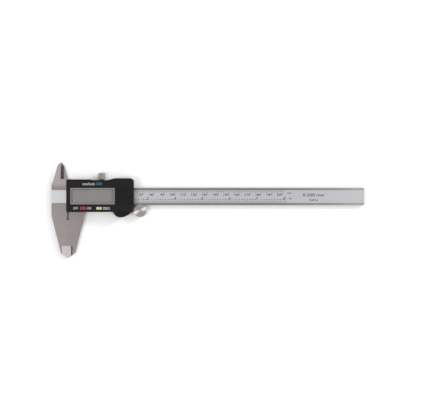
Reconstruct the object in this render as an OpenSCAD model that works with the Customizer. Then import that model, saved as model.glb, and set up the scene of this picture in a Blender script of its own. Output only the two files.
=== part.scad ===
// Digital caliper with a 200 mm range, knife-edge inside and outside jaws and a depth rod.
// Millimetres. The caliper lies on its back with the display up.
// Origin: X = 0 is the plane where the closed outside jaws meet, Y = 0 the beam's centre line,
// and Z = 0 the plane that it lies on. +X runs along the beam, +Y towards the inside jaws.

/* [Measuring] */
// Measuring range, which is the slider's travel
measuring_range = 200; // [150:50:300]
// Reach of the outside jaws below the beam
jaw_reach = 49.2; // [44:0.2:56]
// Reach of the inside jaws above the beam
blade_reach = 24.2; // [22:0.2:26]

/* [Beam] */
// Width of the beam
beam_w = 16; // [15.5:0.1:16.5]
// Thickness of the beam and of both jaws
beam_t = 3.6; // [3.4:0.1:3.8]
// Beam length past the end of the measuring range
beam_tail = 75.8; // [75.8:0.2:90]
// Width of the fixed jaw
fixed_jaw_w = 15.1; // [14.1:0.2:17.1]
// Width of the recessed scale
scale_w = 12; // [11:0.2:12.4]

/* [Slider] */
// Length of the slider frame
slider_len = 61; // [60.8:0.1:61.2]
// Height of the front face above the surface the caliper lies on
front_z = 14; // [13.8:0.1:15]
// Radius of the thumb roller's knurled flange
roller_r = 6.1; // [5.6:0.1:6.1]
// Radius of the lock screw's knurled head
lock_r = 3.1; // [2.6:0.1:3.1]

/* [Controls] */
// How far the buttons stand out of the front face
button_proud = 0.5; // [0.3:0.1:0.6]

/* [Hidden] */
$fn = 48;
eps = 0.01;
gap = 0.1;

// levels in Z
plate_t = 0.9;
beam_z = plate_t + gap;
beam_top = beam_z + beam_t;
wall_top = beam_top + gap;
bridge_top = wall_top + 1.3;
board_t = 0.8;
board_top = wall_top + board_t;
skirt_z = bridge_top - 2.1;
ceiling_z = front_z - 1.6;
door_z = front_z - 1.2;
recess_d = 0.7;
stator_t = 0.5;
foil_t = 0.15;

// edges in Y
beam_y = beam_w / 2;
gib_t = 0.6;
gib_y = beam_y + 0.05;
wall_in_top = gib_y + gib_t + gap;
wall_in_low = -beam_y - 0.05;
frame_y0 = -beam_y - 5;
frame_y1 = beam_y + 5.5;
wall_mid_top = (wall_in_top + frame_y1) / 2;
wall_mid_low = (wall_in_low + frame_y0) / 2;
plate_edge_y = wall_in_low - 0.9;
bracket_edge_y = wall_in_low - 1;
beam_end = measuring_range + beam_tail;

// outside jaws
relief_y = -beam_y - 13.4;
fixed_relief = 0.85;
slide_relief = 1.15;
jaw_tip_y = -beam_y - jaw_reach;
jaw_heel_y = jaw_tip_y + 4.15;
jaw_heel_x = 6.2;
tip_hollow_x = [-5.4, 2.7, 4.6];
tip_hollow_d = 1.8;
tip_hollow_y = jaw_tip_y + 11;
face_gap = 0.01;

// inside jaws: two half-thickness blades that cross like scissors
blade_x = -6.7;
blade_tip_y = beam_y + blade_reach;
blade_root_y = beam_y + 8.4;
blade_split = beam_z + beam_t / 2;
flank_y = beam_y + 7;
flank_w = 6.6;
nose_y = blade_tip_y - 5.6;
nose_w = 3.5;
bevel_w = 3;
bevel_d = 1.35;

// the slider's layout, from the left
bridge_left = 4.6;
bridge_right = 44;
board_x0 = 5;
board_x1 = 43.7;
board_y0 = frame_y0 + 0.2;
board_y1 = frame_y1 - 0.2;

// housing outline
house_x0 = -0.4;
house_x1 = slider_len + 0.9;
house_y0 = -14.35;
house_y1 = 15.8;
shoulder_y = house_y1 + 1.1;
notch_y = house_y1 - 0.6;
notch_x0 = 22.9;
notch_x1 = 37.5;
shoulder_x = 45.2;
grip_x0 = 42.4;
grip_low = [49.6, house_y0 - 5.05];
side_wall = 1.5;
skirt_low_x0 = 19.5;
skirt_high_x0 = 5.2;
rim_r = 1.3;
grip_rim_r = 0.7;
grip_top = front_z - 2.6;

// display window
bezel = [[3.6, -7.25], [44.5, 7.85]];
bezel_line = 1;
lens_gap = 0.05;

// battery and its door
battery_at = [52.9, 1];
battery_r = 5.8;
battery_h = 5.4;
battery_z = ceiling_z + 0.2 - battery_h;
door = [[46.7, -7.6], [house_x1 - 0.1, 9.6]];
door_pad_x1 = 56.7;
rail_w = 0.6;
rail_z0 = door_z + 0.2;
rail_z1 = door_z + 0.7;

// buttons: [centre, size]
power_at = [15.3, -10.8];
power_size = [5.6, 2.7];
zero_at = [30.1, -10.9];
zero_size = [5.3, 2.5];
units_at = [30.1, 11.7];
units_size = [6.4, 2.9];
cap_corner = 0.8;
units_corner = 1.4;
button_flange = 0.7;
button_travel = 0.4;
dome_h = 0.4;
dome_r = 1.9;

// lock screw, gib screws and thumb roller
lock_x = 31.5;
lock_z = lock_r + 0.1;
lock_major = 1.25;
lock_fit = 0.03;
pad_y = gib_y + gib_t + 0.25;
pad_len = 1.1;
lock_head_y = notch_y + 0.3;
lock_head_h = 6.5;
lock_head_round = 0.6;
gib_screw_x = [15, 47];
gib_screw_r = 1;
gib_screw_z = beam_z + beam_t / 2;
roller_waist = roller_r - 1.15;
roller_at = [slider_len + 6.45, -beam_y - 0.05 - roller_waist];
roller_top = wall_top + 2.5;
bracket_z = 0.3;
pin_r = 1;
pin_fit = 0.02;

// fasteners: [x, y]
plate_screws = [[9, wall_mid_top], [53, wall_mid_top], [9, wall_mid_low], [39, wall_mid_low]];
house_screws = [[3, wall_mid_top], [58.2, wall_mid_top], [3, wall_mid_low], [58.2, wall_mid_low]];
bracket_screw = [50, wall_mid_low];
board_screws = [[11.4, wall_mid_top], [23, wall_mid_low]];
screw_r = 0.8;
screw_head_r = 1.45;
screw_fit = 0.02;
post_r = 1.6;

// depth rod, groove and end stop
groove_w = 3.8;
groove_d = 1.75;
groove_x0 = 18;
rod_w = 2.5;
rod_z0 = beam_z + 0.05;
rod_z1 = beam_z + 1.45;
rod_x0 = 22;
anchor_x = [24, 40];
rivet_x = [28, 36];
rivet_r = 0.8;
stop_x0 = beam_end - 11.3;
stop_len = 10;
stop_w = 13;
stop_t = beam_z;
stop_screw_y = 4.6;

// ---------- shared shapes ----------

// points on an arc about c, from angle a0 to a1
function arc(c, r, a0, a1, n = 6) =
    [for (i = [0:n]) let (a = a0 + (a1 - a0) * i / n) c + r * [cos(a), sin(a)]];

// points on a cubic curve, without its first point
function curve(p0, p1, p2, p3, n = 8) =
    [for (i = [1:n]) let (t = i / n, u = 1 - t)
        u * u * u * p0 + 3 * u * u * t * p1 + 3 * u * t * t * p2 + t * t * t * p3];

function rounded_rect(w, h, r, n = 5) = concat(
    arc([w / 2 - r, h / 2 - r], r, 0, 90, n), arc([-w / 2 + r, h / 2 - r], r, 90, 180, n),
    arc([-w / 2 + r, -h / 2 + r], r, 180, 270, n), arc([w / 2 - r, -h / 2 + r], r, 270, 360, n));

// ridges of a straight knurl: two points a tooth
function knurl_ring(r, depth, teeth) =
    [for (i = [0:2 * teeth - 1]) let (a = 180 * i / teeth) (r - (i % 2) * depth) * [cos(a), sin(a)]];

// unit normal of the edge from p to q, pointing out of an anticlockwise outline
function outward(p, q) = let (d = q - p) [d[1], -d[0]] / norm(d);

// an anticlockwise outline with every edge moved inwards by d
function inset(points, d) = let (n = len(points))
    [for (i = [0:n - 1])
        let (a = outward(points[(i + n - 1) % n], points[i]), b = outward(points[i], points[(i + 1) % n]))
            points[i] - d * (a + b) / (1 + a * b)];

// a box from its lowest to its highest corner
module block(lo, hi) {
    translate(lo) cube(hi - lo);
}

module slab(points, z0, z1) {
    translate([0, 0, z0]) linear_extrude(z1 - z0) polygon(points);
}

// middle of an outline's extent
function middle(points) = [for (axis = [0, 1])
    let (along = [for (p = points) p[axis]]) (min(along) + max(along)) / 2];

// a slab of an anticlockwise outline with the rim of its top rounded to radius r in a few steps;
// both ends are cut into triangles about the middle, which every corner has to be in sight of
module rounded_slab(points, z0, z1, r, steps = 4) {
    n = len(points);
    centre = middle(points);
    rings = [for (k = [0:steps]) let (a = 90 * k / steps, ring = inset(points, r * (1 - cos(a))))
        [for (p = ring) [p[0], p[1], z1 - r * (1 - sin(a))]]];
    layers = concat([for (p = points) [p[0], p[1], z0]], [for (ring = rings, p = ring) p],
        [for (z = [z0, z1]) [centre[0], centre[1], z]]);
    walls = [for (k = [0:steps], i = [0:n - 1])
        [k * n + i, (k + 1) * n + i, (k + 1) * n + (i + 1) % n, k * n + (i + 1) % n]];
    top = (steps + 1) * n;
    ends = [for (i = [0:n - 1]) let (j = (i + 1) % n)
        each [[i, j, top + n], [top + j, top + i, top + n + 1]]];
    polyhedron(layers, concat(walls, ends));
}

module rod(at, r, z0, z1) {
    translate([at[0], at[1], z0]) cylinder(h = z1 - z0, r = r);
}

// a countersunk screw whose head is flush at z0, with a cross slot
module countersunk(at, z0, length, head_r = screw_head_r, r = screw_r) {
    difference() {
        union() {
            translate([at[0], at[1], z0]) cylinder(h = head_r - r + 0.1, r1 = head_r, r2 = r - 0.1);
            rod(at, r - screw_fit, z0, z0 + length);
        }
        for (turn = [0, 90])
            translate([at[0], at[1], z0]) rotate(turn) cube([1.7, 0.35, 0.7], center = true);
    }
}

// the clear hole for such a screw
module countersink(at, z0, length, head_r = screw_head_r, r = screw_r) {
    translate([at[0], at[1], z0 - eps]) cylinder(h = head_r - r + 0.1, r1 = head_r + 0.05, r2 = r);
    rod(at, r, z0 - eps, z0 + length);
}

// a pan-head screw standing on its head face at z0, threaded end along +Z or -Z
module pan_screw(at, z0, length, head_r, head_h, r, up = true) {
    turn = up ? 0 : 180;
    translate([at[0], at[1], z0]) rotate([turn, 0, 0]) difference() {
        union() {
            translate([0, 0, -head_h]) cylinder(h = head_h, r = head_r);
            translate([0, 0, -eps]) cylinder(h = length, r = r - screw_fit);
        }
        for (cross = [0, 90])
            translate([0, 0, -head_h]) rotate(cross) cube([1.2 * head_r, 0.3, 0.6], center = true);
    }
}

// ---------- outlines ----------

// right-hand half of an inside blade, measured from its knife edge
function blade_flank(side) = concat(
    [[side * flank_w, flank_y], [side * nose_w, nose_y]],
    curve([side * nose_w, nose_y], [side * 2.9, nose_y + 2.5], [side * 1.2, blade_tip_y - 1.4],
        [0, blade_tip_y], 8));

module fixed_blade_outline() {
    translate([blade_x, 0]) polygon(concat(
        [[0, blade_root_y], [-6.0, blade_root_y], [-(fixed_jaw_w + blade_x), flank_y - 3.5],
            [-(fixed_jaw_w + blade_x), beam_y - 1], [-blade_x - gap, beam_y - 1],
            [-blade_x - gap, flank_y]],
        blade_flank(1)));
}

module slide_blade_outline() {
    translate([blade_x, 0]) polygon(concat(
        [[0, blade_root_y], [2.2 - blade_x, blade_root_y], [4.5 - blade_x, frame_y1 - 0.5],
            [4.5 - blade_x, beam_y + gap], [-(fixed_jaw_w + blade_x), beam_y + gap],
            [-(fixed_jaw_w + blade_x), flank_y - 3.8]],
        blade_flank(-1)));
}

function jaw_outline(side, root_x, relief, start_y) = [
    [side * relief, start_y], [side * relief, relief_y], [side * face_gap / 2, relief_y],
    [side * face_gap / 2, jaw_tip_y], [side * jaw_heel_x, jaw_heel_y],
    [side * root_x, relief_y + 3.5], [side * root_x, start_y]];

function slide_jaw_outline() = [
    [slide_relief, wall_in_low - 1], [slide_relief, relief_y], [face_gap, relief_y],
    [face_gap, jaw_tip_y], [jaw_heel_x + 0.5, jaw_heel_y + 0.6], [17.4, wall_in_low - 1]];

// the hollow ground across the tips of the closed outside jaws, long on the fixed jaw's side
module tip_hollow() {
    translate([0, tip_hollow_y, 0]) rotate([90, 0, 0]) linear_extrude(14)
        polygon([[tip_hollow_x[0], beam_top], [tip_hollow_x[1], beam_top - tip_hollow_d],
            [tip_hollow_x[2], beam_top], [tip_hollow_x[2], beam_top + 1], [tip_hollow_x[0], beam_top + 1]]);
}

// a wedge that thins a blade to its knife edge: side is the side that the blade lies on, and
// cut is 1 where the wedge comes off its upper face at face_z, -1 off its lower face
module blade_bevel(side, face_z, cut) {
    slope = bevel_d / bevel_w;
    translate([blade_x, blade_tip_y + 1, face_z]) rotate([90, 0, 0])
        linear_extrude(blade_tip_y + 1 - blade_root_y)
            polygon([[side * (bevel_w + 0.4), cut * 0.4 * slope],
                [-side * 0.4, -cut * (bevel_d + 0.4 * slope)], [-side * 0.4, cut]]);
}

function housing_outline() = concat(
    arc([house_x0 + 1.4, house_y0 + 1.4], 1.4, 180, 270, 4),
    [[house_x1 - 2.2, house_y0], [house_x1 - 1.1, house_y0 + 1.4], [house_x1 - 0.8, wall_in_low - 1.6],
        [house_x1, wall_in_low - 0.4], [house_x1, shoulder_y - 4.6]],
    arc([house_x1 - 3.4, shoulder_y - 3.4], 3.4, 0, 90, 8),
    [[shoulder_x, shoulder_y]],
    curve([shoulder_x, shoulder_y], [shoulder_x - 3, shoulder_y], [notch_x1 + 2.6, notch_y],
        [notch_x1, notch_y], 6),
    [[notch_x0, notch_y], [notch_x0 - 0.6, house_y1]],
    arc([house_x0 + 1.4, house_y1 - 1.4], 1.4, 90, 180, 4));

function grip_outline() = concat(
    [[grip_x0 - 1.4, house_y0 + 1]],
    curve([grip_x0 - 1.4, house_y0 + 1], [grip_x0 + 1.1, house_y0 - 0.6], [grip_low[0] - 5.4, grip_low[1]],
        grip_low, 10),
    curve(grip_low, [grip_low[0] + 3.6, grip_low[1]], [house_x1 - 4.9, house_y0 - 2.2],
        [house_x1 - 1.2, house_y0 + 0.3], 10),
    [[house_x1 - 1.2, house_y0 + 2.6], [grip_x0 - 1.4, house_y0 + 2.6]]);

// ---------- fixed scale ----------

module beam_with_fixed_jaws() {
    color("darkgray") difference() {
        union() {
            block([-fixed_jaw_w, -beam_y, beam_z], [beam_end, beam_y, beam_top]);
            slab(jaw_outline(-1, fixed_jaw_w, fixed_relief, -beam_y + 1), beam_z, beam_top);
            translate([0, 0, beam_z]) linear_extrude(blade_split - 0.05 - beam_z)
                fixed_blade_outline();
        }
        block([-fixed_jaw_w - 1, -scale_w / 2, beam_top - recess_d],
            [beam_end + 1, scale_w / 2, beam_top + 1]);
        block([groove_x0, -groove_w / 2, beam_z - 1], [beam_end + 1, groove_w / 2, beam_z + groove_d]);
        tip_hollow();
        blade_bevel(1, blade_split - 0.05, 1);
        for (side = [-1, 1])
            rod([stop_x0 + stop_len / 2, side * stop_screw_y], screw_r, beam_z - 1, beam_z + 2.4);
    }
}

module stator_strip() {
    color("seagreen")
        block([-fixed_jaw_w, 0.1 - scale_w / 2, beam_top - recess_d],
            [beam_end, scale_w / 2 - 0.1, beam_top - recess_d + stator_t]);
}

module scale_foil() {
    z = beam_top - recess_d + stator_t;
    color("gainsboro")
        block([-fixed_jaw_w, 0.05 - scale_w / 2, z], [beam_end, scale_w / 2 - 0.05, z + foil_t]);
}

module end_stop_plate() {
    color("silver") difference() {
        translate([stop_x0 + stop_len / 2, 0, 0])
            slab(rounded_rect(stop_len, stop_w, 1), beam_z - stop_t, beam_z);
        for (side = [-1, 1])
            countersink([stop_x0 + stop_len / 2, side * stop_screw_y], beam_z - stop_t, 2);
    }
}

module end_stop_screws() {
    color("dimgray") for (side = [-1, 1])
        countersunk([stop_x0 + stop_len / 2, side * stop_screw_y], beam_z - stop_t, 3);
}

// ---------- slider metalwork ----------

module slider_frame_with_jaws() {
    color("darkgray") difference() {
        union() {
            block([0, frame_y0, plate_t], [slider_len, wall_in_low, wall_top]);
            block([0, wall_in_top, plate_t], [slider_len, frame_y1, wall_top]);
            block([0, frame_y0, wall_top - eps], [bridge_left, frame_y1, bridge_top]);
            block([bridge_right, frame_y0, wall_top - eps], [slider_len, frame_y1, bridge_top]);
            slab(slide_jaw_outline(), beam_z, beam_top);
            translate([0, 0, blade_split + 0.05]) linear_extrude(beam_top - blade_split - 0.05)
                slide_blade_outline();
        }
        tip_hollow();
        blade_bevel(-1, blade_split + 0.05, -1);
        for (at = plate_screws) rod(at, screw_r, 0, plate_t + 3);
        rod(bracket_screw, screw_r, 0, plate_t + 3);
        for (at = house_screws) {
            rod(at, screw_r + 0.1, 0, bridge_top + 1);
            rod(at, screw_head_r + 0.1, 0, plate_t + 1.3);
        }
        for (at = board_screws) rod(at, 0.6, wall_top - 1.5, wall_top + 1);
        translate([lock_x, frame_y1 + 1, lock_z]) rotate([90, 0, 0])
            cylinder(h = frame_y1 - wall_in_top + 2, r = lock_major + lock_fit);
        for (x = gib_screw_x)
            translate([x, frame_y1 + 1, gib_screw_z]) rotate([90, 0, 0])
                cylinder(h = frame_y1 - wall_in_top + 2, r = gib_screw_r);
    }
}

module back_plate() {
    color("silver") difference() {
        slab([[0, frame_y0], [bridge_right, frame_y0], [bridge_right, plate_edge_y],
            [slider_len, plate_edge_y], [slider_len, frame_y1], [0, frame_y1]], 0, plate_t);
        for (at = plate_screws) countersink(at, 0, 2);
        for (x = rivet_x) rod([x, 0], rivet_r, -1, plate_t + 1);
    }
}

module back_plate_screws() {
    color("dimgray") for (at = plate_screws) countersunk(at, 0, plate_t + 2.8);
}

module depth_rod() {
    color("darkgray") difference() {
        union() {
            block([rod_x0, -rod_w / 2, rod_z0], [beam_end - 0.1, rod_w / 2, rod_z1]);
            block([anchor_x[0], -1.7, plate_t], [anchor_x[1], 1.7, rod_z1]);
        }
        // the relieved tip clears the radius in the corner of a step
        block([beam_end - 4, -rod_w / 2 - 1, rod_z0 - 1], [beam_end + 1, -rod_w / 2 + 0.9, rod_z1 + 1]);
        for (x = rivet_x) rod([x, 0], rivet_r, 0, rod_z1 + 1);
    }
}

module depth_rod_rivets() {
    color("silver") for (x = rivet_x) rod([x, 0], rivet_r - screw_fit, 0.02, rod_z1);
}

module gib_strip() {
    color("goldenrod")
        block([bridge_left + 0.4, gib_y, beam_z + gap], [slider_len - 1, gib_y + gib_t, beam_top - gap]);
}

module gib_screws() {
    color("dimgray") for (x = gib_screw_x)
        translate([x, gib_y + gib_t + 0.02, gib_screw_z]) rotate([-90, 0, 0]) difference() {
            cylinder(h = 4.2, r = gib_screw_r - screw_fit);
            translate([0, 0, 4.2]) cube([3, 0.35, 1.2], center = true);
        }
}

module roller_bracket() {
    ear_r = 2.7;
    color("lightgray") difference() {
        slab(concat([[bridge_right + 0.2, bracket_edge_y], [bridge_right + 0.2, frame_y0]],
            [[slider_len - 1, frame_y0]], arc(roller_at, ear_r, 240, 400, 14),
            [[slider_len + 1.5, bracket_edge_y]]), bracket_z, plate_t);
        rod(roller_at, pin_r, 0, plate_t + 1);
        rod(bracket_screw, screw_r + 0.05, 0, plate_t + 1);
        // a slit that lets the arm flex and press the roller on the beam
        block([slider_len - 7, -11.2, 0], [slider_len + 2, -10.6, plate_t + 1]);
    }
}

module roller_bracket_screw() {
    color("dimgray") rod(bracket_screw, screw_r - screw_fit, bracket_z - 0.1, plate_t + 2.8);
    color("dimgray") difference() {
        rod(bracket_screw, screw_head_r, 0.02, bracket_z);
        translate([bracket_screw[0], bracket_screw[1], 0]) cube([2.4, 0.35, 0.4], center = true);
    }
}

// ---------- display unit ----------

module housing_shell() {
    difference() {
        union() {
            rounded_slab(housing_outline(), skirt_z, front_z, rim_r);
            rounded_slab(grip_outline(), beam_z + 0.2, grip_top, grip_rim_r, 3);
            grip_ribs();
        }
        // room for the frame, then the hollow for the electronics
        block([-1, frame_y0 - gap, 0], [house_x1 + 1, frame_y1 + gap, bridge_top]);
        block([house_x0 + side_wall, frame_y0 - gap, bridge_top - 1],
            [house_x1 - side_wall, frame_y1 + gap, ceiling_z]);
        // the jaws pass under the skirt
        block([house_x0 - 1, house_y0 - 1, 0], [skirt_low_x0, frame_y0 - gap + eps, wall_top + gap]);
        block([house_x0 - 1, frame_y1 + gap - eps, 0], [skirt_high_x0, house_y1 + 1, wall_top + gap]);
        // clearance over the lock screw's neck
        block([lock_x - 3, frame_y1 - 1, skirt_z - 1], [lock_x + 3, house_y1 + 2, bridge_top]);
    }
}

// upright ribs on the thumb grip
module grip_ribs() {
    pitch = 1.4;
    rib_w = 0.7;
    first_x = grip_x0 + 3.2;
    intersection() {
        rounded_slab(grip_outline(), grip_top - 1, grip_top + 0.45, grip_rim_r, 3);
        union() for (i = [0:9])
            block([first_x + i * pitch, grip_low[1], grip_top - 0.6],
                [first_x + rib_w + i * pitch, house_y0 + 0.5, front_z]);
    }
}

module button_hole(at, size, corner) {
    translate([at[0], at[1], 0])
        slab(rounded_rect(size[0] + 0.2, size[1] + 0.2, corner + 0.1), ceiling_z - 1, front_z + 1);
}

module display_housing() {
    color([0.13, 0.13, 0.14]) difference() {
        union() {
            housing_shell();
            for (at = house_screws) rod(at, post_r, bridge_top, ceiling_z + eps);
        }
        for (at = house_screws) rod(at, screw_r, bridge_top - 1, ceiling_z - 1.6);
        // bezel seat and display window
        block([bezel[0][0] - lens_gap, bezel[0][1] - lens_gap, front_z - 0.9],
            [bezel[1][0] + lens_gap, bezel[1][1] + lens_gap, front_z + 1]);
        block([bezel[0][0] + 1, bezel[0][1] + 1, ceiling_z - 1],
            [bezel[1][0] - 1, bezel[1][1] - 1, front_z + 1]);
        button_hole(power_at, power_size, cap_corner);
        button_hole(zero_at, zero_size, cap_corner);
        button_hole(units_at, units_size, units_corner);
        // seat of the battery door, its rail grooves, and the way to the battery
        block([door[0][0] - gap, door[0][1] - gap, door_z], [house_x1 + 2, door[1][1] + gap, front_z + 1]);
        block([door[0][0] - gap, door[0][1] - gap - rail_w, rail_z0 - 0.05],
            [house_x1 + 2, door[1][1] + gap + rail_w, rail_z1 + 0.05]);
        rod(battery_at, battery_r + 0.25, ceiling_z - 1, front_z);
    }
}

module housing_screws() {
    color("dimgray") for (at = house_screws)
        pan_screw(at, plate_t + 1.25, ceiling_z - 2.2 - plate_t - 1.25, screw_head_r, 1, screw_r);
}

module circuit_board() {
    color("darkgreen") difference() {
        block([board_x0, board_y0, wall_top], [board_x1, board_y1, board_top]);
        for (at = board_screws) rod(at, 0.65, wall_top - 1, board_top + 1);
    }
}

module board_screws() {
    color("silver") for (at = board_screws) pan_screw(at, board_top, 1.9, 1.2, 0.6, 0.6, up = false);
}

module controller_chip() {
    color([0.05, 0.05, 0.05]) block([19, -4.5, board_top], [28, 4.5, board_top + 1.1]);
}

module switch_domes() {
    color("gainsboro") for (at = [power_at, zero_at, units_at])
        let (r = min(dome_r, board_y1 - abs(at[1]) - 0.1))
            translate([at[0], at[1], board_top]) difference() {
                cylinder(h = dome_h, r1 = r, r2 = r - 0.6);
                translate([0, 0, -eps]) cylinder(h = dome_h - 0.12, r1 = r - 0.25, r2 = r - 0.8);
            }
}

module zebra_connectors() {
    color("pink") for (y = [-6.9, 6])
        block([7, y, board_top], [41.3, y + 1.2, ceiling_z - 2.1]);
}

module lcd_holder() {
    z0 = ceiling_z - 5.1;
    z1 = ceiling_z - 2.1;
    color("whitesmoke") difference() {
        block([4.3, -8.4, z0], [44.3, 8.4, z1]);
        block([5.8, -7.2, z0 - 1], [43.4, 7.5, z1 + 1]);
    }
}

module lcd_panel() {
    color([0.54, 0.53, 0.48]) block([4.9, -8.2, ceiling_z - 2.1], [44.3, 8.3, ceiling_z - 0.1]);
}

module display_bezel() {
    size = bezel[1] - bezel[0];
    mid = (bezel[0] + bezel[1]) / 2;
    color("darkgray") translate([mid[0], mid[1], 0]) difference() {
        slab(rounded_rect(size[0], size[1], 0.5, 3), front_z - 0.9, front_z + 0.1);
        slab(rounded_rect(size[0] - 2 * bezel_line, size[1] - 2 * bezel_line, 0.3, 3),
            front_z - 2, front_z + 1);
    }
}

module display_window() {
    inset = bezel_line + lens_gap;
    color([0.8, 0.85, 0.85, 0.35])
        block([bezel[0][0] + inset, bezel[0][1] + inset, ceiling_z + 0.1],
            [bezel[1][0] - inset, bezel[1][1] - inset, front_z - 0.5]);
}

module insulating_film() {
    color("khaki") block([44.3, -7.5, bridge_top], [60, 9.5, bridge_top + 0.1]);
}

module battery() {
    color("silver") {
        rod(battery_at, battery_r, battery_z + 0.6, battery_z + battery_h);
        rod(battery_at, battery_r - 0.9, battery_z, battery_z + 0.6 + eps);
    }
}

// a strip soldered on the board that rises over the bridge to a spring tongue under the cell
module battery_contact_negative() {
    y0 = battery_at[1] - 1.2;
    y1 = battery_at[1] + 1.2;
    low = bridge_top + 0.1;
    color("gold") {
        block([41.5, y0, board_top], [43.6, y1, board_top + 0.25]);
        block([43.35, y0, board_top], [43.6, y1, low + 0.25]);
        block([43.35, y0, low], [57, y1, low + 0.25]);
        rod(battery_at, 1, low + 0.2, battery_z - 0.02);
    }
}

// a strip that stands beside the cell and presses on its rim
module battery_contact_positive() {
    y0 = battery_at[1] + battery_r + 0.05;
    low = bridge_top + 0.1;
    color("gold") {
        block([41.5, y0, board_top], [43.6, y0 + 1.6, board_top + 0.25]);
        block([43.35, y0, board_top], [43.6, y0 + 1.6, low + 0.25]);
        block([43.35, y0, low], [56, y0 + 1.6, low + 0.25]);
        block([50, y0, low], [56, y0 + 0.25, ceiling_z - 0.6]);
    }
}

module battery_cover() {
    tab_z = front_z - 0.35;
    color([0.13, 0.13, 0.14]) difference() {
        union() {
            block([door[0][0], door[0][1], door_z + 0.05], [door[1][0], door[1][1], front_z]);
            block([door[0][0], door[0][1] - rail_w, rail_z0],
                [door[1][0] - 2.5, door[1][1] + rail_w, rail_z1]);
        }
        // its outer edge continues the housing's rounded rim
        translate([0, door[1][1] + 1, 0]) rotate([90, 0, 0]) linear_extrude(door[1][1] - door[0][1] + 2)
            polygon(concat(arc([house_x1 - rim_r, front_z - rim_r], rim_r, 90, 0, 4),
                [[house_x1 + 1, front_z - rim_r], [house_x1 + 1, front_z + 1],
                    [house_x1 - rim_r, front_z + 1]]));
        // the shallow pad for the thumb
        block([door[0][0] - 1, door[0][1] + 0.7, tab_z], [door_pad_x1, door[1][1] - 0.7, front_z + 1]);
    }
}

// ---------- controls ----------

module button(at, size, corner, tint) {
    color(tint) translate([at[0], at[1], 0]) {
        slab(rounded_rect(size[0], size[1], corner), ceiling_z - 0.5, front_z + button_proud);
        slab(rounded_rect(size[0] + 2 * button_flange, 3.6, cap_corner), ceiling_z - 0.9, ceiling_z - 0.05);
        translate([0, 0, board_top + dome_h + button_travel + 0.1])
            cylinder(h = ceiling_z - 0.8 - board_top - dome_h - button_travel - 0.1, r = 1);
    }
}

module button_power() {
    button(power_at, power_size, cap_corner, "crimson");
}

module button_zero() {
    button(zero_at, zero_size, cap_corner, "palegoldenrod");
}

module button_units() {
    button(units_at, units_size, units_corner, "teal");
}

module thumb_roller() {
    chamfer = 0.25;
    root_r = roller_r - 0.25;
    color("lightslategray") translate([roller_at[0], roller_at[1], 0]) difference() {
        union() {
            translate([0, 0, beam_z]) cylinder(h = roller_top - beam_z - 1, r = roller_waist);
            translate([0, 0, wall_top]) cylinder(h = chamfer + eps, r1 = root_r - chamfer, r2 = root_r);
            slab(knurl_ring(roller_r, 0.22, 60), wall_top + chamfer, roller_top - chamfer);
            translate([0, 0, roller_top - chamfer]) cylinder(h = chamfer, r1 = root_r, r2 = root_r - chamfer);
        }
        translate([0, 0, beam_z - 1]) cylinder(h = 6.2, r = pin_r);
    }
}

module roller_pin() {
    color("dimgray") {
        rod(roller_at, pin_r - pin_fit, 0.1, beam_z + 5.1);
        rod(roller_at, 1.7, 0.02, bracket_z - 0.04);
    }
}

module lock_pad() {
    color("peru") translate([lock_x, pad_y + pad_len, lock_z]) rotate([90, 0, 0])
        cylinder(h = pad_len, r = lock_major - 0.02);
}

module lock_screw() {
    tip = pad_y + pad_len + 0.02;
    neck = frame_y1 + 0.3;
    color("lightslategray") translate([lock_x, 0, lock_z]) rotate([-90, 0, 0]) {
        translate([0, 0, tip]) cylinder(h = neck - tip + 0.1, r = lock_major);
        translate([0, 0, neck]) cylinder(h = lock_head_y - neck + 0.1, r = 1.5);
        intersection() {
            translate([0, 0, lock_head_y]) linear_extrude(lock_head_h) polygon(knurl_ring(lock_r, 0.2, 32));
            union() {
                translate([0, 0, lock_head_y])
                    cylinder(h = lock_head_round, r1 = lock_r - lock_head_round, r2 = lock_r + eps);
                translate([0, 0, lock_head_y + lock_head_round - eps])
                    cylinder(h = lock_head_h - 2 * (lock_head_round - eps), r = lock_r + eps);
                translate([0, 0, lock_head_y + lock_head_h - lock_head_round])
                    cylinder(h = lock_head_round, r1 = lock_r + eps, r2 = lock_r - lock_head_round);
            }
        }
    }
}

beam_with_fixed_jaws();
stator_strip();
scale_foil();
end_stop_plate();
end_stop_screws();
slider_frame_with_jaws();
back_plate();
back_plate_screws();
depth_rod();
depth_rod_rivets();
gib_strip();
gib_screws();
roller_bracket();
roller_bracket_screw();
display_housing();
housing_screws();
circuit_board();
board_screws();
controller_chip();
switch_domes();
zebra_connectors();
lcd_holder();
lcd_panel();
display_bezel();
display_window();
insulating_film();
battery();
battery_contact_negative();
battery_contact_positive();
battery_cover();
button_power();
button_zero();
button_units();
thumb_roller();
roller_pin();
lock_pad();
lock_screw();
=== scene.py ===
"""Digital caliper: the looks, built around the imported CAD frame. Lengths marked MM are millimetres."""
import math

import bpy
import bmesh
from mathutils import Matrix, Vector


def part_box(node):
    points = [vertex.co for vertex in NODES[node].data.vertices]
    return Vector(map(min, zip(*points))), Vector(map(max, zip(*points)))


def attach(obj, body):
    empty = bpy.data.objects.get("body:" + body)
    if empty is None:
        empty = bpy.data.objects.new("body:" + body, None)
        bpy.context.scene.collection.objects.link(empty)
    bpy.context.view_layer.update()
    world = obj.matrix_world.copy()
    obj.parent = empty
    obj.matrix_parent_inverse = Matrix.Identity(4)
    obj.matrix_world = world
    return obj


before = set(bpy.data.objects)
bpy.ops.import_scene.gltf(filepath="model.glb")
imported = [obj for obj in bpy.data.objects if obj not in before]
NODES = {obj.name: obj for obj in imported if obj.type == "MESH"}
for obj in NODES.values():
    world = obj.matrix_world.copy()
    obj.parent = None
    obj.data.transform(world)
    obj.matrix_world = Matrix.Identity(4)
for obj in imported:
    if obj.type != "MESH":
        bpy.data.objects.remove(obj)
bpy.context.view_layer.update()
MM = 0.001

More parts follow.
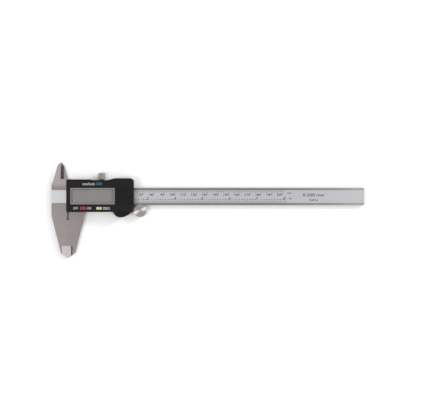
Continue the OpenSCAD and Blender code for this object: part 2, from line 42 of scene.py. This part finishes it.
# ---------------------------------------------------------------- camera, floor and light
BEAM_FACE = 4.6
VIEW_CENTRE = (137.0, -8.3)
VIEW_WIDTH = 400.2
CAMERA_DISTANCE = 1000.0
SENSOR = 36.0


def make_camera():
    data = bpy.data.cameras.new("camera")
    data.sensor_width = SENSOR
    data.lens = SENSOR * CAMERA_DISTANCE / VIEW_WIDTH
    data.clip_start, data.clip_end = 0.01, 20.0
    camera = bpy.data.objects.new("camera", data)
    camera.location = (VIEW_CENTRE[0] * MM, VIEW_CENTRE[1] * MM, (BEAM_FACE + CAMERA_DISTANCE) * MM)
    bpy.context.scene.collection.objects.link(camera)
    bpy.context.scene.camera = camera


def make_floor():
    mesh = bpy.data.meshes.new("floor")
    s = 6.0
    mesh.from_pydata([(-s, -s, 0), (s, -s, 0), (s, s, 0), (-s, s, 0)], [], [(0, 1, 2, 3)])
    floor = bpy.data.objects.new("floor", mesh)
    floor.location = (0, 0, -0.00005)
    bpy.context.scene.collection.objects.link(floor)
    m = Paint("floor_white", roughness=0.7)
    tone = m.noise(m.place(3, 3, 3), 1.0, 2)
    m.colour(m.blend(tone, (0.93, 0.93, 0.93), (0.95, 0.95, 0.95)))
    mesh.materials.append(m.material)


def area_light(name, place, target, size, power):
    data = bpy.data.lights.new(name, "AREA")
    data.shape = "RECTANGLE"
    data.size, data.size_y = size
    data.energy = power
    light = bpy.data.objects.new(name, data)
    light.location = place
    light.rotation_mode = "QUATERNION"
    light.rotation_quaternion = (Vector(target) - Vector(place)).to_track_quat("-Z", "Y")
    bpy.context.scene.collection.objects.link(light)


class Sky:
    """The studio around the object: a grey dome, darker on the left, with one soft bright patch."""

    def __init__(self, name):
        world = bpy.data.worlds.new(name)
        bpy.context.scene.world = world
        world.use_nodes = True
        self.tree = world.node_tree
        self.tree.nodes.clear()
        self.way = self.tree.nodes.new("ShaderNodeTexCoord").outputs["Generated"]
        split = self.tree.nodes.new("ShaderNodeSeparateXYZ")
        self.tree.links.new(self.way, split.inputs[0])
        self.x, _, self.z = split.outputs

    def ramp(self, value, *stops):
        made = self.tree.nodes.new("ShaderNodeValToRGB")
        self.tree.links.new(value, made.inputs[0])
        elements = made.color_ramp.elements
        elements.remove(elements[1])
        for i, (at, grey) in enumerate(stops):
            e = elements[0] if i == 0 else elements.new(at)
            e.position = at
            e.color = (grey, grey, grey, 1)
        return made.outputs[0]

    def math(self, what, a, b, c=0.0):
        made = self.tree.nodes.new("ShaderNodeMath")
        made.operation = what
        for socket, value in zip(made.inputs, (a, b, c)):
            if isinstance(value, bpy.types.NodeSocket):
                self.tree.links.new(value, socket)
            else:
                socket.default_value = value
        return made.outputs[0]

    def toward(self, direction):
        """How closely a direction of view points to this one: its cosine."""
        made = self.tree.nodes.new("ShaderNodeVectorMath")
        made.operation = "DOT_PRODUCT"
        self.tree.links.new(self.way, made.inputs[0])
        made.inputs[1].default_value = Vector(direction).normalized()
        return made.outputs["Value"]

    def show(self, value):
        back = self.tree.nodes.new("ShaderNodeBackground")
        out = self.tree.nodes.new("ShaderNodeOutputWorld")
        self.tree.links.new(value, back.inputs[0])
        self.tree.links.new(back.outputs[0], out.inputs[0])


def make_light():
    bpy.context.scene.view_settings.view_transform = "Standard"
    sky = Sky("studio")
    height = sky.ramp(sky.z, (0.0, 1.0), (0.4, 1.0), (0.8, 0.9), (1.0, 0.84))
    side = sky.ramp(sky.math("MULTIPLY_ADD", sky.x, 0.5, 0.5), (0.0, 0.75), (0.22, 0.8), (0.42, 1.0))
    patch = sky.ramp(sky.toward((0.36, 0.0, 0.93)), (0.975, 0.0), (0.992, 1.6))
    sky.show(sky.math("ADD", sky.math("MULTIPLY", height, side), patch))
    area_light("key", (-0.6, -0.24, 1.38), (0.1, 0, 0), (0.3, 0.3), 4.5)
    area_light("glint", (1.2, 0.63, 0.72), (0.1, 0, 0), (0.3, 0.3), 7)


# ---------------------------------------------------------------- procedural materials
class Paint:
    """One procedural material, with short names for the nodes that it uses."""

    def __init__(self, name, **sockets):
        self.material = bpy.data.materials.new(name)
        self.material.use_nodes = True
        self.tree = self.material.node_tree
        self.tree.nodes.clear()
        out = self.tree.nodes.new("ShaderNodeOutputMaterial")
        self.shader = self.tree.nodes.new("ShaderNodeBsdfPrincipled")
        self.tree.links.new(self.shader.outputs[0], out.inputs[0])
        for key, value in sockets.items():
            self.shader.inputs[SOCKETS[key]].default_value = value

    def feed(self, socket, value):
        if isinstance(value, bpy.types.NodeSocket):
            self.tree.links.new(value, socket)
        elif isinstance(value, tuple) and len(value) == 3 and socket.type == "RGBA":
            socket.default_value = (*value, 1)
        else:
            socket.default_value = value

    def node(self, kind, *values, **settings):
        made = self.tree.nodes.new("ShaderNode" + kind)
        for key, value in settings.items():
            setattr(made, key, value)
        for i, value in enumerate(values):
            if value is not None:
                self.feed(made.inputs[i], value)
        return made

    def place(self, x=1, y=1, z=1, centre=(0, 0, 0)):
        """The point in the row frame, in millimetres about centre, stretched by x, y and z."""
        at = self.node("TexCoord").outputs["Object"]
        moved = self.node("VectorMath", at, tuple(c * MM for c in centre), operation="SUBTRACT").outputs[0]
        return self.node("VectorMath", moved, (x / MM, y / MM, z / MM), operation="MULTIPLY").outputs[0]

    def noise(self, at, scale, detail=3, rough=0.5):
        return self.node("TexNoise", at, None, scale, detail, rough).outputs[0]

    def math(self, what, a, b=0.0, c=0.0, clamp=False):
        return self.node("Math", a, b, c, operation=what, use_clamp=clamp).outputs[0]

    def ramp(self, value, *stops):
        """A grey ramp through (position, grey) stops."""
        made = self.node("ValToRGB", value)
        elements = made.color_ramp.elements
        elements.remove(elements[1])
        for i, (at, grey) in enumerate(stops):
            e = elements[0] if i == 0 else elements.new(at)
            e.position = at
            e.color = (grey, grey, grey, 1)
        return made.outputs[0]

    def blend(self, share, a, b):
        made = self.node("Mix", data_type="RGBA")
        self.feed(made.inputs[0], share)
        self.feed(made.inputs[6], a)
        self.feed(made.inputs[7], b)
        return made.outputs[2]

    def spread(self, value, low, high):
        """Maps 0..1 to low..high."""
        return self.math("MULTIPLY_ADD", value, high - low, low)

    def colour(self, value):
        self.feed(self.shader.inputs["Base Color"], value)

    def rough(self, value):
        self.feed(self.shader.inputs["Roughness"], value)

    def bump(self, height, depth, strength=1.0):
        made = self.node("Bump")
        self.feed(made.inputs["Height"], height)
        made.inputs["Distance"].default_value = depth * MM
        made.inputs["Strength"].default_value = strength
        self.tree.links.new(made.outputs[0], self.shader.inputs["Normal"])


SOCKETS = {
    "roughness": "Roughness", "metallic": "Metallic", "specular": "Specular IOR Level",
    "anisotropic": "Anisotropic", "rotation": "Anisotropic Rotation",
}


BEAM_EDGE_Y = 8.2
BEAM_END_X = 275.8
# Painted highlight: how much brighter the far end of the beam is painted.
BEAM_END_HIGHLIGHT = 1.6
BLADE_ROOT_Y = (8.0, 12.0)
TIP_HOLLOW_X = (-5.4, 2.7)
TIP_HOLLOW_Y = -46.0
TIP_HOLLOW_Z = 2.7
# Painted highlight: the lighter tones of the jaw tip hollow stand in for the bright light it reflects.
TIP_HOLLOW_HIGHLIGHT_TONES = ((0.37, 0.34, 0.332), (0.48, 0.443, 0.435))


def times(colour, factor):
    return tuple(factor * c for c in colour)


def jaw_colour(m, place, colour, tone, light, dark, blade_light_and_shade):
    """Over a steel's colour, painted light: a painted highlight in the jaw tip hollow, painted light and
    shade on the upper blades and a painted highlight on the beam's far end.
    """
    x, y, z = place
    middle, half = sum(TIP_HOLLOW_X) / 2, (TIP_HOLLOW_X[1] - TIP_HOLLOW_X[0]) / 2
    below = m.math("MULTIPLY", m.math("LESS_THAN", y, TIP_HOLLOW_Y), m.math("GREATER_THAN", z, TIP_HOLLOW_Z))
    hollow_highlight_mask = m.math("MULTIPLY", below, m.math("COMPARE", x, middle, half))
    # Painted highlight in the front tip hollow.
    colour = m.blend(hollow_highlight_mask, colour, m.blend(tone, *TIP_HOLLOW_HIGHLIGHT_TONES))
    # Painted light and shade: the upper blades are painted in a tone scaled by each steel's factor for its
    # blades, standing in for how light falls on them.
    root, full = (y0 / 100 for y0 in BLADE_ROOT_Y)
    blade_light_mask = m.ramp(m.math("MULTIPLY", y, 0.01), (root, 0.0), (full, 1.0))
    colour = m.blend(blade_light_mask, colour, m.blend(tone, times(dark, blade_light_and_shade), times(light, blade_light_and_shade)))
    # Painted highlight: towards its far end the beam is painted brighter, standing in for the light it
    # reflects there.
    far_end_highlight = m.ramp(m.math("MULTIPLY", x, 1 / BEAM_END_X), (0.7, 0.0), (0.9, 0.5), (0.97, 1.0))
    return m.blend(far_end_highlight, colour, m.blend(tone, times(dark, BEAM_END_HIGHLIGHT), times(light, BEAM_END_HIGHLIGHT)))


def steel(name, light, dark, grain, rough=(0.3, 0.42), depth=0.004, jaws=False, blade_light_and_shade=1.0):
    """Ground steel. grain is the direction that the grinding lines run in: x, y or z. With jaws, the
    lines turn across on the jaws, and painted light is added: a painted highlight in the hollow at the
    jaw tips, painted light and shade on the upper blades and a painted highlight on the beam's far end."""
    m = Paint(name, metallic=1.0)
    along = {"x": (0.05, 9, 9), "y": (9, 0.05, 9), "z": (9, 9, 0.05)}
    lines = m.noise(m.place(*along[grain]), 1.0, 4, 0.6)
    if jaws:
        down = m.noise(m.place(*along["y"]), 1.0, 4, 0.6)
        place = m.node("SeparateXYZ", m.place()).outputs
        off_beam = m.math("GREATER_THAN", m.math("ABSOLUTE", place[1]), BEAM_EDGE_Y)
        lines = m.math("ADD", m.math("MULTIPLY", down, off_beam),
                       m.math("MULTIPLY", lines, m.math("SUBTRACT", 1.0, off_beam)))
    cloud = m.noise(m.place(), 0.06, 3, 0.5)
    stain = m.ramp(m.noise(m.place(), 0.35, 5, 0.65), (0.35, 0.0), (0.75, 1.0))
    tone = m.math("ADD", m.math("MULTIPLY", lines, 0.55), m.math("MULTIPLY", cloud, 0.45))
    colour = m.blend(m.math("MULTIPLY", stain, 0.12), m.blend(tone, dark, light), times(dark, 0.72))
    if jaws:
        colour = jaw_colour(m, place, colour, tone, light, dark, blade_light_and_shade)
    m.colour(colour)
    wear = m.math("ADD", m.math("MULTIPLY", lines, 0.5), m.math("MULTIPLY", cloud, 0.5))
    m.rough(m.spread(wear, *rough))
    m.bump(lines, depth, 0.6)
    return m.material


RING_PITCH = 0.16


def turned(name, centre, axis, light, dark):
    """A turned face: fine rings about an axis, with highlights that fan out from the centre."""
    m = Paint(name, metallic=1.0, roughness=0.34, anisotropic=0.95, rotation=0.25)
    at = m.node("SeparateXYZ", m.place(1, 1, 1, centre))
    flat = [at.outputs[i] for i in range(3) if "xyz"[i] != axis]
    squares = [m.math("MULTIPLY", side, side) for side in flat]
    r = m.math("SQRT", m.math("ADD", *squares))
    rings = m.math("MULTIPLY_ADD", m.math("SINE", m.math("MULTIPLY", r, 2 * math.pi / RING_PITCH)), 0.5, 0.5)
    drift = m.noise(m.place(), 0.9, 3)
    tone = m.math("ADD", m.math("MULTIPLY", rings, 0.25), m.math("MULTIPLY", drift, 0.6))
    m.colour(m.blend(tone, dark, light))
    tangent = m.node("Tangent", direction_type="RADIAL", axis=axis.upper())
    m.tree.links.new(tangent.outputs[0], m.shader.inputs["Tangent"])
    m.rough(m.spread(drift, 0.28, 0.4))
    m.bump(rings, 0.003, 0.5)
    return m.material


def plastic(name, light, dark, rough=(0.42, 0.58), grain=0.16, depth=0.012, specular=0.4):
    """Moulded plastic with a fine spark-eroded texture."""
    m = Paint(name, specular=specular)
    fine = m.noise(m.place(), 1 / grain, 2, 0.5)
    cloud = m.noise(m.place(), 0.12, 4, 0.6)
    tone = m.math("ADD", m.math("MULTIPLY", fine, 0.5), m.math("MULTIPLY", cloud, 0.5))
    m.colour(m.blend(tone, dark, light))
    wear = m.math("ADD", m.math("MULTIPLY", fine, 0.35), m.math("MULTIPLY", cloud, 0.65))
    m.rough(m.spread(wear, *rough))
    m.bump(fine, depth, 0.7)
    return m.material


def printed_film():
    """Silver scale film with fine lengthwise brushing."""
    m = Paint("silver_film", metallic=0.9, specular=0.5)
    lines = m.noise(m.place(0.08, 7, 7), 1.0, 4, 0.6)
    cloud = m.noise(m.place(), 0.05, 3)
    tone = m.math("ADD", m.math("MULTIPLY", lines, 0.6), m.math("MULTIPLY", cloud, 0.4))
    m.colour(m.blend(tone, (0.43, 0.43, 0.45), (0.51, 0.51, 0.532)))
    m.rough(m.spread(lines, 0.3, 0.4))
    m.bump(lines, 0.002, 0.4)
    return m.material


def ink(name, light, dark):
    """Printing ink, a little uneven in tone and gloss."""
    m = Paint(name, specular=0.3)
    patch = m.noise(m.place(), 3.0, 3, 0.6)
    m.colour(m.blend(patch, dark, light))
    m.rough(m.spread(patch, 0.5, 0.65))
    return m.material


# Painted shadow: where the dark band along the LCD's left end stops.
LCD_SHADOW_X = 5.5


def lcd_face():
    """The reflective cell: a fine rear-polariser sparkle, and a painted shadow of the bezel's left wall
    along its left end.
    """
    m = Paint("lcd_face", specular=0.35)
    sparkle = m.noise(m.place(), 9.0, 2, 0.5)
    cloud = m.noise(m.place(), 0.08, 2)
    tone = m.math("ADD", m.math("MULTIPLY", sparkle, 0.4), m.math("MULTIPLY", cloud, 0.6))
    face = m.blend(tone, (0.084, 0.07, 0.0605), (0.11, 0.0935, 0.0815))
    # Painted shadow: a dark band along the cell's left end stands in for the shadow of the bezel's left
    # wall.
    painted_shadow = m.blend(sparkle, (0.03, 0.029, 0.028), (0.04, 0.038, 0.037))
    x = m.node("SeparateXYZ", m.place()).outputs[0]
    m.colour(m.blend(m.math("LESS_THAN", x, LCD_SHADOW_X), face, painted_shadow))
    m.rough(m.spread(sparkle, 0.28, 0.36))
    return m.material


def clear_window():
    """A thin clear pane: it lets the display show through and adds only its gloss."""
    m = Paint("clear_window", specular=0.5)
    smear = m.noise(m.place(), 0.25, 4, 0.6)
    m.colour(m.blend(smear, (0.9, 0.92, 0.92), (1, 1, 1)))
    m.rough(m.spread(smear, 0.04, 0.1))
    m.shader.inputs["Alpha"].default_value = 0.07
    return m.material


def laminate():
    """Green circuit laminate with its glass weave showing through."""
    m = Paint("laminate", specular=0.5)
    across, along, _ = m.node("SeparateXYZ", m.place(9, 9, 9)).outputs
    waves = m.math("MULTIPLY", m.math("SINE", across), m.math("SINE", along))
    weave = m.math("MULTIPLY_ADD", waves, 0.5, 0.5)
    m.colour(m.blend(weave, (0.02, 0.11, 0.05), (0.03, 0.16, 0.08)))
    m.rough(m.spread(weave, 0.35, 0.45))
    return m.material


# ---------------------------------------------------------------- finishing the CAD nodes
def shading_group(name, limit, top=None):
    """Geometry nodes that shade a mesh smooth, except along edges that turn by more than limit degrees
    and, where top is given, along the outline of the flat face at that height."""
    group = bpy.data.node_groups.new(name, "GeometryNodeTree")
    for way in ("INPUT", "OUTPUT"):
        group.interface.new_socket("Geometry", in_out=way, socket_type="NodeSocketGeometry")
    source = group.nodes.new("NodeGroupInput")
    result = group.nodes.new("NodeGroupOutput")
    turn = group.nodes.new("GeometryNodeInputMeshEdgeAngle")
    gentle = group.nodes.new("FunctionNodeCompare")
    gentle.operation = "LESS_EQUAL"
    gentle.inputs[1].default_value = math.radians(limit)
    group.links.new(turn.outputs[0], gentle.inputs[0])
    smooth = gentle.outputs[0]
    if top is not None:
        place = group.nodes.new("GeometryNodeInputPosition")
        split = group.nodes.new("ShaderNodeSeparateXYZ")
        below = group.nodes.new("FunctionNodeCompare")
        below.operation = "LESS_THAN"
        below.inputs[1].default_value = top - 0.002 * MM
        both = group.nodes.new("FunctionNodeBooleanMath")
        both.operation = "AND"
        group.links.new(place.outputs[0], split.inputs[0])
        group.links.new(split.outputs[2], below.inputs[0])
        group.links.new(below.outputs[0], both.inputs[0])
        group.links.new(smooth, both.inputs[1])
        smooth = both.outputs[0]
    shade = group.nodes.new("GeometryNodeSetShadeSmooth")
    shade.domain = "EDGE"
    group.links.new(source.outputs[0], shade.inputs["Geometry"])
    group.links.new(smooth, shade.inputs["Shade Smooth"])
    group.links.new(shade.outputs[0], result.inputs[0])
    return group


def marking_group(name, limit):
    """Geometry nodes that mark for the bevel the outward edges that turn by more than limit degrees."""
    group = bpy.data.node_groups.new(name, "GeometryNodeTree")
    for way in ("INPUT", "OUTPUT"):
        group.interface.new_socket("Geometry", in_out=way, socket_type="NodeSocketGeometry")
    source = group.nodes.new("NodeGroupInput")
    result = group.nodes.new("NodeGroupOutput")
    turn = group.nodes.new("GeometryNodeInputMeshEdgeAngle")
    sharp = group.nodes.new("FunctionNodeCompare")
    sharp.operation = "GREATER_THAN"
    sharp.inputs[1].default_value = math.radians(limit)
    group.links.new(turn.outputs["Signed Angle"], sharp.inputs[0])
    store = group.nodes.new("GeometryNodeStoreNamedAttribute")
    store.data_type = "FLOAT"
    store.domain = "EDGE"
    store.inputs["Name"].default_value = "bevel_weight_edge"
    group.links.new(source.outputs[0], store.inputs["Geometry"])
    group.links.new(sharp.outputs[0], store.inputs["Value"])
    group.links.new(store.outputs[0], result.inputs[0])
    return group


MARKS = {angle: marking_group("mark_edges", angle) for angle in (35, 50)}
SHADING = {
    "round": shading_group("smooth_round", 34),
    "ground": shading_group("smooth_ground", 11),
    "moulded": shading_group("smooth_moulded", 34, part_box("display_housing")[1].z),
}


def finish_node(name, material, edge=None, width=0.0, segments=3, angle=35, shade="round"):
    """Gives a CAD node its material and, where width is above 0, small rounded edges."""
    node = NODES[name]
    node.data.materials.clear()
    node.data.materials.append(material)
    if edge is not None:
        node.data.materials.append(edge)
    node.data.polygons.foreach_set("use_smooth", [True] * len(node.data.polygons))
    weld = node.modifiers.new("weld", "WELD")
    weld.merge_threshold = 0.002 * MM
    if shade != "moulded":
        flat = node.modifiers.new("flat", "DECIMATE")
        flat.decimate_type = "DISSOLVE"
        flat.angle_limit = math.radians(0.6)
    if width > 0:
        node.modifiers.new("marks", "NODES").node_group = MARKS[angle]
        bevel = node.modifiers.new("edges", "BEVEL")
        bevel.width = width * MM
        bevel.segments = segments
        bevel.limit_method = "WEIGHT"
        bevel.use_clamp_overlap = False
        if edge is not None:
            bevel.material = 1
    shading = node.modifiers.new("shading", "NODES")
    shading.node_group = SHADING[shade]
    normals = node.modifiers.new("normals", "WEIGHTED_NORMAL")
    normals.keep_sharp = True
    return node


ROLLER_AXIS = (67.45, -13.0, 0.0)


def finish_nodes():
    # Painted light and shade on the upper blades: the slider's are painted lighter (1.4) than the lower
    # fixed ones (1.1), which lie in shade.
    ground = steel("ground_steel", (0.252, 0.229, 0.225), (0.196, 0.178, 0.175), "x", jaws=True, blade_light_and_shade=1.1)
    frame_steel = steel("frame_steel", (0.244, 0.219, 0.216), (0.188, 0.169, 0.166), "x",
                        jaws=True, blade_light_and_shade=1.4)
    edge = steel("worn_edge", (0.32, 0.3, 0.294), (0.25, 0.235, 0.23), "x", rough=(0.28, 0.36))
    sheet = steel("brushed_sheet", (0.32, 0.305, 0.3), (0.25, 0.24, 0.235), "x", rough=(0.26, 0.36))
    screw = steel("screw_steel", (0.34, 0.33, 0.33), (0.2, 0.195, 0.195), "z", rough=(0.3, 0.45))
    bronze = steel("bronze_strip", (0.72, 0.52, 0.28), (0.55, 0.38, 0.2), "x")
    gilt = steel("gilt_contact", (0.85, 0.66, 0.34), (0.7, 0.52, 0.26), "x")
    can = steel("cell_can", (0.78, 0.77, 0.76), (0.66, 0.65, 0.64), "z", rough=(0.18, 0.28))
    ring = steel("bezel_ring", (0.245, 0.238, 0.232), (0.193, 0.187, 0.182), "x", rough=(0.36, 0.46))
    black = plastic("housing_plastic", (0.0043, 0.0045, 0.005), (0.0017, 0.0018, 0.0021), (0.3, 0.4),
                    depth=0.006, specular=0.19)
    # Lighter plastic on the battery door's rounded edges: rubbing wear and a painted highlight.
    rim_wear_and_highlight = plastic("housing_rim_wear_and_highlight", (0.02, 0.0205, 0.022), (0.01, 0.0103, 0.011), rough=(0.34, 0.46))
    door = plastic("door_plastic", (0.0036, 0.0038, 0.0042), (0.0014, 0.0015, 0.0018), (0.3, 0.4),
                   depth=0.006, specular=0.17)
    chip = plastic("chip_epoxy", (0.02, 0.02, 0.02), (0.008, 0.008, 0.008))
    white = plastic("white_holder", (0.8, 0.8, 0.78), (0.68, 0.68, 0.66))
    pink = plastic("zebra_rubber", (0.55, 0.33, 0.33), (0.4, 0.22, 0.22))
    amber = plastic("amber_film", (0.6, 0.5, 0.2), (0.45, 0.36, 0.14), rough=(0.2, 0.3))
    red = plastic("red_cap", (0.3, 0.021, 0.042), (0.225, 0.0145, 0.031), rough=(0.35, 0.48), grain=0.3)
    yellow = plastic("yellow_cap", (0.5, 0.46, 0.28), (0.41, 0.37, 0.22), rough=(0.35, 0.48), grain=0.3)
    teal = plastic("teal_cap", (0.009, 0.08, 0.103), (0.006, 0.054, 0.07), rough=(0.35, 0.48), grain=0.3)
    board = laminate()
    roller = turned("turned_roller", ROLLER_AXIS, "z", (0.47, 0.44, 0.425), (0.34, 0.316, 0.305))
    knob = steel("knurled_knob", (0.35, 0.315, 0.298), (0.275, 0.247, 0.234), "y", rough=(0.36, 0.46))

    finish_node("beam_with_fixed_jaws", ground, edge, 0.08, shade="ground")
    finish_node("slider_frame_with_jaws", frame_steel, edge, 0.08, shade="ground")
    finish_node("stator_strip", board)
    finish_node("scale_foil", printed_film())
    finish_node("end_stop_plate", sheet, edge, 0.08)
    finish_node("end_stop_screws", screw)
    finish_node("back_plate", sheet, edge, 0.1)
    finish_node("back_plate_screws", screw)
    finish_node("depth_rod", ground, edge, 0.1)
    finish_node("depth_rod_rivets", sheet)
    finish_node("gib_strip", bronze, width=0.05)
    finish_node("gib_screws", screw)
    finish_node("roller_bracket", sheet, width=0.05)
    finish_node("roller_bracket_screw", screw)
    finish_node("roller_pin", screw)
    finish_node("display_housing", black, shade="moulded")
    finish_node("battery_cover", door, rim_wear_and_highlight, 0.08, 2, 50)
    finish_node("housing_screws", screw)
    finish_node("circuit_board", board)
    finish_node("board_screws", screw)
    finish_node("controller_chip", chip, width=0.05)
    finish_node("switch_domes", gilt)
    finish_node("zebra_connectors", pink, width=0.05)
    finish_node("lcd_holder", white, width=0.05)
    finish_node("lcd_panel", lcd_face(), width=0.05)
    finish_node("display_bezel", ring, width=0.1)
    finish_node("display_window", clear_window(), width=0.05)
    finish_node("insulating_film", amber)
    finish_node("battery", can, width=0.2)
    finish_node("battery_contact_negative", gilt)
    finish_node("battery_contact_positive", gilt)
    finish_node("button_power", red, width=0.25)
    finish_node("button_zero", yellow, width=0.25)
    finish_node("button_units", teal, width=0.25)
    finish_node("thumb_roller", roller)
    finish_node("lock_pad", bronze)
    finish_node("lock_screw", knob)


# ---------------------------------------------------------------- printing
PRINT = 0.02
CAPITAL_HEIGHT = 0.72
INCH = 25.4


def mesh_piece(name, mesh, material, body):
    """Puts a mesh in the scene as a piece that rides a body, with the material in its slot."""
    piece = bpy.data.objects.new(name, mesh)
    bpy.context.scene.collection.objects.link(piece)
    mesh.materials.append(material)
    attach(piece, body)
    return piece


def bars(name, boxes, z):
    """A mesh of thin printed bars: (x centre, width, y low, y high), all in MM, on the plane z."""
    bm = bmesh.new()
    for x, w, y0, y1 in boxes:
        made = bmesh.ops.create_cube(bm, size=1.0)["verts"]
        size = Matrix.Diagonal((w * MM, (y1 - y0) * MM, PRINT * MM, 1))
        place = Matrix.Translation((x * MM, (y0 + y1) / 2 * MM, (z + PRINT / 2) * MM))
        bmesh.ops.transform(bm, matrix=place @ size, verts=made)
    mesh = bpy.data.meshes.new(name)
    bm.to_mesh(mesh)
    bm.free()
    return mesh


def lettering(name, entries, z, weight=0.0, wide=1.0):
    """One mesh of printed text: (text, x, y, height, align), in MM, with y at the middle of the line.
    weight is how far the outlines are swollen, for a bold line, and wide stretches the line along X."""
    bm = bmesh.new()
    for text, x, y, height, align in entries:
        curve = bpy.data.curves.new("line", "FONT")
        curve.body = text
        curve.size = height / CAPITAL_HEIGHT * MM
        curve.align_x, curve.align_y = align, "BOTTOM_BASELINE"
        curve.extrude = PRINT / 2 * MM
        curve.offset = weight * MM
        curve.resolution_u = 3
        line = bpy.data.objects.new("line", curve)
        bpy.context.scene.collection.objects.link(line)
        bpy.context.view_layer.update()
        made = bpy.data.meshes.new_from_object(line.evaluated_get(bpy.context.evaluated_depsgraph_get()))
        made.transform(Matrix.Translation((x * MM, (y - height / 2) * MM, (z + PRINT / 2) * MM))
                       @ Matrix.Diagonal((wide, 1, 1, 1)))
        bm.from_mesh(made)
        bpy.data.objects.remove(line)
        bpy.data.curves.remove(curve)
        bpy.data.meshes.remove(made)
    mesh = bpy.data.meshes.new(name)
    bm.to_mesh(mesh)
    bm.free()
    return mesh


def make_scale():
    """The millimetre row at the top, the inch row below it, and the range that the caliper measures."""
    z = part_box("scale_foil")[1].z / MM
    black = ink("scale_ink", (0.07, 0.07, 0.075), (0.04, 0.04, 0.045))
    top, low = 5.85, -5.8
    ticks = []
    for i in range(0, 201):
        length = 4.6 if i % 10 == 0 else 2.7 if i % 5 == 0 else 1.9
        ticks.append((i, 0.2 if i % 10 else 0.26, top - length, top))
    for i in range(0, 8 * 40 + 1):
        length = 3.4 if i % 40 == 0 else 1.9 if i % 4 == 0 else 1.5 if i % 2 == 0 else 1.1
        ticks.append((i * INCH / 40, 0.12 if i % 2 else 0.22, low, low + length))
    mesh_piece("scale_marks", bars("scale_marks", ticks, z), black, "main_scale")
    lines = [(str(n), n - 0.5, 1.85, 2.0, "RIGHT") for n in range(10, 201, 10)]
    lines += [(str(i % 10), i * INCH / 10 - 0.45, -2.8, 1.4, "CENTER") for i in range(1, 80) if i % 10]
    lines += [(str(n), n * INCH - 0.6, -1.6, 2.3, "RIGHT") for n in range(1, 9)]
    lines += [("mm", 206.2, 3.5, 1.5, "CENTER"), ("in", 207.1, -1.6, 1.8, "CENTER")]
    lines += [("0-200 mm", 228.8, 1.6, 2.9, "CENTER"), ("0-8 in", 228.8, -3.0, 2.0, "CENTER")]
    numerals = lettering("scale_numerals", lines, z, 0.06, 1.22)
    mesh_piece("scale_numerals", numerals, black, "main_scale")


def make_legends():
    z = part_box("display_bezel")[1].z / MM - 0.1
    white = ink("legend_ink", (0.46, 0.47, 0.48), (0.36, 0.37, 0.38))
    lines = [("OFF", 8.4, -10.8, 2.3, "CENTER"), ("ON", 20.9, -10.8, 2.3, "CENTER"),
             ("ZERO", 36.9, -10.9, 2.3, "CENTER")]
    keys = lettering("key_legends", lines, z, 0.06, 0.8)
    mesh_piece("key_legends", keys, white, "slider")
    units = lettering("units_legend", [("mm/inch", 20.4, 11.7, 2.5, "CENTER")], z, 0.06, 0.94)
    mesh_piece("units_legend", units, white, "slider")


make_camera()
make_floor()
make_light()
finish_nodes()
make_scale()
make_legends()
